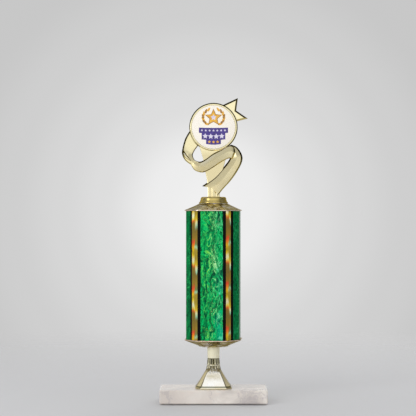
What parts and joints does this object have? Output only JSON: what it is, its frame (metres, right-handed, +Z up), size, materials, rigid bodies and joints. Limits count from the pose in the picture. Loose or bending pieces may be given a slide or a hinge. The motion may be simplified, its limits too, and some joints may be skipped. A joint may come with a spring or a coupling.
{
  "type": "column trophy",
  "caption": "Column trophy: marble base, gold riser, green foil column between gold lids, and a ribbon and star figure holding a round emblem.",
  "frame": {"origin": "centre of the plane that the felt pads rest on", "axes": "+Z up along the clamping rod; the emblem and the marble's front face -Y; +X to the right seen from the front"},
  "size_m": [0.125, 0.0676, 0.3558],
  "materials": {
    "marble": "polished, faintly veined",
    "felt": "matt felt",
    "plated_steel": "zinc plated",
    "gold_plastic": "vacuum-metallised, mirror-like pale gold",
    "figure_gold": "vacuum-metallised, satin pale gold",
    "tube_plastic": "plain white",
    "green_foil": "green metallised film with a moire vein pattern",
    "prism_tape": "prismatic gold with black borders",
    "foam_adhesive": "white foam tape",
    "printed_emblem": "ivory with a printed gold and violet device"
  },
  "bodies": {
    "base": {"marble_base": "marble", "felt_pads": "felt", "threaded_rod": "plated_steel", "flat_washer": "plated_steel", "lock_washer": "plated_steel", "hex_nut": "plated_steel"},
    "riser": {"riser": "gold_plastic"},
    "column": {"lower_lid": "gold_plastic", "column_tube": "tube_plastic", "column_foil": "green_foil", "corner_tapes": "prism_tape", "upper_lid": "gold_plastic"},
    "figure": {"figure": "figure_gold", "figure_nut": "plated_steel", "emblem_adhesive": "foam_adhesive", "emblem_disc": "printed_emblem"}
  },
  "joints": [
    {"name": "riser_turn", "type": "hinge", "parent": "base", "child": "riser", "pos_m": [0, 0, 0.0171], "axis": [0, 0, 1], "continuous": true},
    {"name": "column_turn", "type": "hinge", "parent": "base", "child": "column", "pos_m": [0, 0, 0.0652], "axis": [0, 0, 1], "continuous": true},
    {"name": "figure_turn", "type": "hinge", "parent": "base", "child": "figure", "pos_m": [0, 0, 0.2342], "axis": [0, 0, 1], "range_deg": [-180, 180]}
  ]
}
